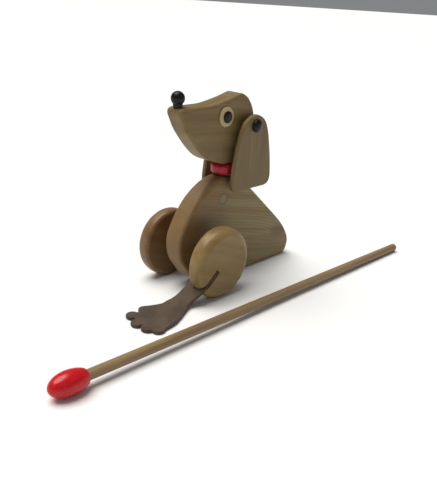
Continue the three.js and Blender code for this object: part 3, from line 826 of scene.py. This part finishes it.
# The slot's own directions on one side: outward along it, and across it to its upper wall.
def slotFrame(side):
    drop = wheelSizes["slotDrop"]
    along = np.array([0, -math.cos(drop), -math.sin(drop)]) * side
    across = np.array([0, -math.sin(drop), math.cos(drop)]) * side
    return along, across


def blockMesh(corners, low, high):
    points = [(x, y, z) for x in (low, high) for y, z in corners]
    faces = [(3, 2, 1, 0), (4, 5, 6, 7)] + [(i, (i + 1) % 4, 4 + (i + 1) % 4, 4 + i) for i in range(4)]
    area = sum(a[0] * b[1] - b[0] * a[1] for a, b in zip(corners, corners[1:] + corners[:1]))
    if area < 0:
        faces = [face[::-1] for face in faces]
    return np.array(points, float), faces


for label, side in sides:
    low, high = boxOf("wheel_" + label)
    radius = (high[2] - low[2]) / 2
    middle = (low + high) / 2
    thick = high[0] - low[0]
    innerFace = side * min(abs(low[0]), abs(high[0]))
    along, across = slotFrame(side)
    lower, upper = wheelSizes["slotLow"], wheelSizes["slotLow"] + wheelSizes["slotWidth"]
    corners = [(middle + along * reach + across * height)[1:]
               for reach, height in ((wheelSizes["slotInner"], lower), (radius + 4, lower),
                                     (radius + 4, upper), (wheelSizes["slotInner"], upper))]
    disc = rodAlong((innerFace, *middle[1:]), (side, 0, 0), radius, thick,
                    wheelSizes["innerEdge"], wheelSizes["outerEdge"], steps=144)
    socket = boreAlong((innerFace - side * 5, *middle[1:]), (side, 0, 0), axleRadius + gap, 18)
    slotCut = blockMesh(corners, low[0] - 2, high[0] + 2)
    wheelTurn = (0.35, 0, -math.pi / 2 + 0.08)
    # For the right wheel this look is the darker, redder copy with painted shade.
    wheelWood = wood("wheelWood" + label, wheelLooks[label], wheelTurn, (4, 150 * side))
    addPiece("shown_wheel_" + label, disc, "wheel_set", wheelWood,
             cutters=[socket, slotCut])
    spacerLow, spacerHigh = boxOf("axle_spacer_" + label)
    start = side * min(abs(spacerLow[0]), abs(spacerHigh[0]))
    tube = rodAlong((start, *middle[1:]), (side, 0, 0), (spacerHigh[2] - spacerLow[2]) / 2,
                    spacerHigh[0] - spacerLow[0], 1, 1, axleRadius + gap)
    addPiece("shown_axle_spacer_" + label, tube, "wheel_set",
             wood("tubeWood" + label, dowelLook, alongX, (18, 70)))
print("wheels made")

# ---- leather feet: one bent piece each, from the slot to the toes

footSizes = {
    "thickness": 4.0,
    "edge": 1.1,
    "bendRadius": 35,
    "width": 56,
    "length": 87,  # from the rim to the furthest toe
    "toeRadius": 7.0,
    "inset": 0.5,
    "overhang": 7,
}
toes = [(178, 0.43), (219, 0.47), (258, 0.42), (293, 0.42), (319, 0.43)]  # direction, reach
wheelRadius = (boxOf("wheel_left")[1][2] - boxOf("wheel_left")[0][2]) / 2
wheelInner, wheelOuter = boxOf("wheel_left")[0][0], boxOf("wheel_left")[1][0]
leatherMiddle = wheelSizes["slotLow"] + gap + footSizes["thickness"] / 2
footInner = boxOf("foot_left")[0][0]
drop = wheelSizes["slotDrop"]


def inSlot(along, across):
    return np.array([-math.cos(drop) * along - math.sin(drop) * across,
                     -math.sin(drop) * along + math.cos(drop) * across])


rimExit = inSlot(wheelRadius, leatherMiddle)[0]
tangStart = inSlot(wheelSizes["slotInner"] + footSizes["inset"], leatherMiddle)
floorLine = footSizes["thickness"] / 2 - wheelRadius
bendDrop = footSizes["bendRadius"] * (1 - math.cos(drop))
straight = (tangStart[1] - floorLine - bendDrop) / math.sin(drop)
bendStart = tangStart + straight * np.array([-math.cos(drop), -math.sin(drop)])
bendCentre = bendStart + footSizes["bendRadius"] * np.array([-math.sin(drop), math.cos(drop)])
bendEnd = bendCentre[0]


# Height and heading of the leather's middle at a distance ahead, as (y, z, heading).
def sideLine(y):
    if y > bendStart[0]:
        return tangStart[1] + (y - tangStart[0]) * math.tan(drop), drop
    if y > bendEnd:
        heading = math.asin(min(1, (y - bendEnd) / footSizes["bendRadius"]))
        return bendCentre[1] - footSizes["bendRadius"] * math.cos(heading), heading
    return floorLine, 0.0


def leatherOutline():
    width, length, toeRadius = footSizes["width"], footSizes["length"], footSizes["toeRadius"]
    edge = lambda across, ahead: np.array([footInner + across * width, rimExit - ahead * length])
    ankleInner, ankleOuter = wheelInner - footSizes["overhang"], wheelOuter - footSizes["inset"]
    ball = edge(0.51, 0.64)
    centres = []
    for direction, reach in toes:
        angle = math.radians(direction)
        x = ball[0] + reach * width * math.cos(angle)
        x = min(max(x, footInner + toeRadius), footInner + width - toeRadius)
        centres.append(np.array([x, ball[1] + reach * width * math.sin(angle)]))
    inner = softLine([
        (ankleInner, rimExit), edge(0.18, 0.15), edge(0.14, 0.28), edge(0.15, 0.39), edge(0.07, 0.53),
    ])
    outer = softLine([
        edge(0.92, 0.76), edge(0.88, 0.59), edge(0.79, 0.44), edge(0.665, 0.28), edge(0.585, 0.15),
        (ankleOuter, rimExit),
    ])
    toeLine = []
    before = inner[-1]
    last = len(centres) - 1
    for i, centre in enumerate(centres):
        if i == 0:
            start = touch(inner[-1], centre, toeRadius)
        else:
            start = meeting(centres[i - 1], centre, ball, toeRadius)
        if i == last:
            end = touch(outer[0], centre, toeRadius, -1)
        else:
            end = meeting(centre, centres[i + 1], ball, toeRadius)
        startAngle = math.atan2(*(start - centre)[::-1])
        endAngle = math.atan2(*(end - centre)[::-1])
        if endAngle < startAngle:
            endAngle += 2 * math.pi
        toeLine += [centre + toeRadius * np.array([math.cos(a), math.sin(a)])
                    for a in np.linspace(startAngle, endAngle, 10)]
    heel = [np.array([ankleOuter, tangStart[0]]), np.array([ankleInner, tangStart[0]])]
    return heel + inner + toeLine + outer


# The outer point where two toes' circles cross, away from the ball of the foot.
def meeting(first, second, ball, radius):
    middle = (first + second) / 2
    apart = np.linalg.norm(second - first)
    out = middle - ball
    across = np.array([-(second - first)[1], (second - first)[0]]) / apart
    if across @ out < 0:
        across = -across
    return middle + across * math.sqrt(max(radius ** 2 - (apart / 2) ** 2, 0))


# The point of a toe's circle that a straight line from outside touches, on its outer side.
def touch(point, centre, radius, turn=1):
    away = point - centre
    distance = np.linalg.norm(away)
    angle = math.atan2(away[1], away[0]) + turn * math.acos(min(1, radius / distance))
    return centre + radius * np.array([math.cos(angle), math.sin(angle)])


# The flat outline becomes a sheet with rounded edges, laid along the side line.
def leatherMesh(side):
    outline = evenly(leatherOutline(), 1.3)
    normals = outwardNormals(outline)
    half, edge = footSizes["thickness"] / 2, footSizes["edge"]
    count, steps = len(outline), 4
    rings = []
    for k in range(2 * steps + 2):
        face = -1 if k <= steps else 1
        angle = math.pi / 2 * (k / steps if face < 0 else (2 * steps + 1 - k) / steps)
        inset = edge * (1 - math.sin(angle))
        height = face * (half - edge * (1 - math.cos(angle)))
        rings.append(np.column_stack([outline - normals * inset, np.full(count, height)]))
    flat = np.vstack(rings)
    faces = []
    for k in range(len(rings) - 1):
        for i in range(count):
            j = (i + 1) % count
            faces.append((k * count + i, k * count + j, (k + 1) * count + j, (k + 1) * count + i))
    low, high = outline.min(axis=0), outline.max(axis=0)
    grid = [(x, y) for x in np.arange(low[0], high[0], 2.5) for y in np.arange(low[1], high[1], 2.0)]
    inside = [p for p in grid if clearInside(p, outline, 1.8)]
    for first, height in ((0, -half), (len(flat) - count, half)):
        border = flat[first:first + count, :2]
        made, triangles, sources = filled(border, inside)
        start = len(flat)
        extra = [p for p, source in zip(made, sources) if source[0] >= count]
        index, following = [], start
        for source in sources:
            if source[0] < count:
                index.append(first + source[0])
            else:
                index.append(following)
                following += 1
        if extra:
            flat = np.vstack([flat, np.column_stack([np.array(extra), np.full(len(extra), height)])])
        for triangle in triangles:
            corners = [index[c] for c in triangle]
            faces.append(tuple(corners if height > 0 else corners[::-1]))
    placed = []
    for x, y, height in flat:
        z, heading = sideLine(y)
        placed.append((x, y - height * math.sin(heading), z + height * math.cos(heading)))
    placed = np.array(placed)
    if side < 0:
        placed = placed * (-1, -1, -1)
    return placed + (0, axleCentre[1], axleCentre[2]), faces


def clearInside(point, outline, margin):
    nearest = np.min(np.linalg.norm(outline - np.array(point), axis=1))
    if nearest < margin:
        return False
    following = np.roll(outline, -1, axis=0)
    crosses = (outline[:, 1] > point[1]) != (following[:, 1] > point[1])
    spans = following[crosses] - outline[crosses]
    at = outline[crosses][:, 0] + (point[1] - outline[crosses][:, 1]) / spans[:, 1] * spans[:, 0]
    return np.sum(at > point[0]) % 2 == 1


leather = leatherMaterial("leather", leatherLook)
for label, side in sides:
    sheet = rawObject("shown_foot_" + label, *leatherMesh(side))
    sheet.data.materials.append(leather)
    if side < 0:
        sheet.data.flip_normals()
    smooth(sheet, 60)
    turned = lambda point: metres(np.array([0, *point]) * side + (0, axleCentre[1], axleCentre[2]))
    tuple(turned(inSlot(wheelRadius + 0.5, leatherMiddle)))
    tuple(turned(inSlot(wheelRadius + 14, leatherMiddle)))
    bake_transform(sheet)
    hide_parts("foot_tang_" + label, "foot_" + label)
print("feet made")

# ---- push stick and its handle

stickSizes = {
    "radius": 5.0,
    "farEdge": 3.2,
    "nearEdge": 0.8,
    "blunt": 6.8,  # radius of the handle's flat end
    "widest": 0.52,  # share of the handle's length
    "boreDepth": 20.3,  # hole in the handle
}


# Start, direction and length of a turned CAD piece, from its own points.
def axisOf(node):
    points = np.array([vertex.co for vertex in frame["nodes"][node].data.vertices])
    points = millimetres(points)
    centre = (points.min(axis=0) + points.max(axis=0)) / 2
    direction = np.linalg.svd(points - points.mean(axis=0), full_matrices=False)[2][0]
    direction *= np.sign(direction[1])
    spans = (points - centre) @ direction
    return centre + direction * spans.min(), direction, spans.max() - spans.min()


stickStart, stickWay, stickLength = axisOf("push_stick")
stick = rodAlong(stickStart, stickWay, stickSizes["radius"], stickLength,
                 stickSizes["nearEdge"], stickSizes["farEdge"], steps=64)
stickWood = wood("stickWood", stickLook, alongY, (-60, 30))
addPiece("shown_push_stick", stick, "stick", stickWood)

handlePoints = millimetres([vertex.co for vertex in frame["nodes"]["handle_egg"].data.vertices])
handleSpans = (handlePoints - stickStart) @ stickWay
handleLow, handleLength = handleSpans.min(), handleSpans.max() - handleSpans.min()
handleRadius = np.max(np.linalg.norm(handlePoints - stickStart - np.outer(handleSpans, stickWay), axis=1))
widest = handleLength * stickSizes["widest"]
backAngle = math.acos(stickSizes["blunt"] / handleRadius)
backLength = (handleLength - widest) / math.sin(backAngle)
eggProfile = [(handleRadius * math.cos(a), widest + widest * math.sin(a))
              for a in (math.pi / 2 * (k / 24 - 1) for k in range(25))]
eggProfile[0] = (0, 0)
eggProfile += [(handleRadius * math.cos(a), widest + backLength * math.sin(a))
               for a in (backAngle * k / 12 for k in range(1, 12))]
bluntRadius, soft = stickSizes["blunt"], 0.8
eggProfile += [(bluntRadius + 0.05, handleLength - soft), (bluntRadius - 0.25, handleLength - 0.25),
               (bluntRadius - soft, handleLength)]
boreRadius, boreEnd = stickSizes["radius"] + gap, handleLength - stickSizes["boreDepth"]
eggProfile += [(boreRadius, handleLength), (boreRadius, boreEnd), (0, boreEnd)]
eggPoints, eggFaces = turnedMesh(eggProfile, 96)
egg = stood(eggPoints, stickStart + stickWay * handleLow, stickWay)
handlePaint = paint("handlePaint", handleLook, alongY)
addPiece("shown_handle_egg", (egg, eggFaces), "stick", handlePaint)
print("stick made")

# ---- floor, light and camera

studio = {
    "floor": (0.86, 0.86, 0.86),
    "skyColour": (0.95, 0.97, 1.0),
    "skyStrength": 0.24,
    "keyColour": (1.0, 0.98, 0.94),
    "keyStrength": 3.4,
    "keyFrom": (-0.30, -0.14, 1.0),
    "keySoftness": 50,  # degrees across the sky
}
floorPaint = finishGraph(Graph("floorPaint"), (*studio["floor"], 1), 0.9)
ground = bpy.data.meshes.new("floor")
reach = 60.0
corners = [(-reach, -reach, 0), (reach, -reach, 0), (reach, reach, 0), (-reach, reach, 0)]
ground.from_pydata(corners, [], [(0, 1, 2, 3)])
floor = bpy.data.objects.new("floor", ground)
floor.location.z = -0.0002
floor.data.materials.append(floorPaint)
bpy.context.scene.collection.objects.link(floor)

bpy.context.scene.view_settings.view_transform = "Standard"
world = bpy.data.worlds.new("sky")
bpy.context.scene.world = world
world.use_nodes = True
background = world.node_tree.nodes["Background"]
background.inputs["Color"].default_value = (*studio["skyColour"], 1)
background.inputs["Strength"].default_value = studio["skyStrength"]

key = bpy.data.lights.new("key", "SUN")
key.energy = studio["keyStrength"]
key.color = studio["keyColour"]
key.angle = math.radians(studio["keySoftness"])
keyLight = bpy.data.objects.new("key", key)
keyLight.rotation_euler = Vector(studio["keyFrom"]).to_track_quat("Z", "Y").to_euler()
bpy.context.scene.collection.objects.link(keyLight)

cameraLook = {
    "place": (459.62, -466.15, 307.27),
    "azimuth": math.radians(42.05),
    "pitch": math.radians(21.77),
    "roll": math.radians(3.44),
    "lens": 45.18,
}
azimuth, pitch, roll = cameraLook["azimuth"], cameraLook["pitch"], cameraLook["roll"]
level = math.cos(pitch)
back = Vector((math.sin(azimuth) * level, -math.cos(azimuth) * level, math.sin(pitch)))
right = Vector((math.cos(azimuth), math.sin(azimuth), 0))
up = back.cross(right)
cameraX = right * math.cos(roll) + up * math.sin(roll)
cameraY = up * math.cos(roll) - right * math.sin(roll)
lens = bpy.data.cameras.new("camera")
lens.lens = cameraLook["lens"]
lens.sensor_width = 36
lens.clip_start, lens.clip_end = 0.01, 200
lens.dof.use_dof = False
camera = bpy.data.objects.new("camera", lens)
facing = Matrix((cameraX, cameraY, back)).transposed()
camera.matrix_world = Matrix.Translation(metres(cameraLook["place"])) @ facing.to_4x4()
bpy.context.scene.collection.objects.link(camera)
bpy.context.scene.camera = camera
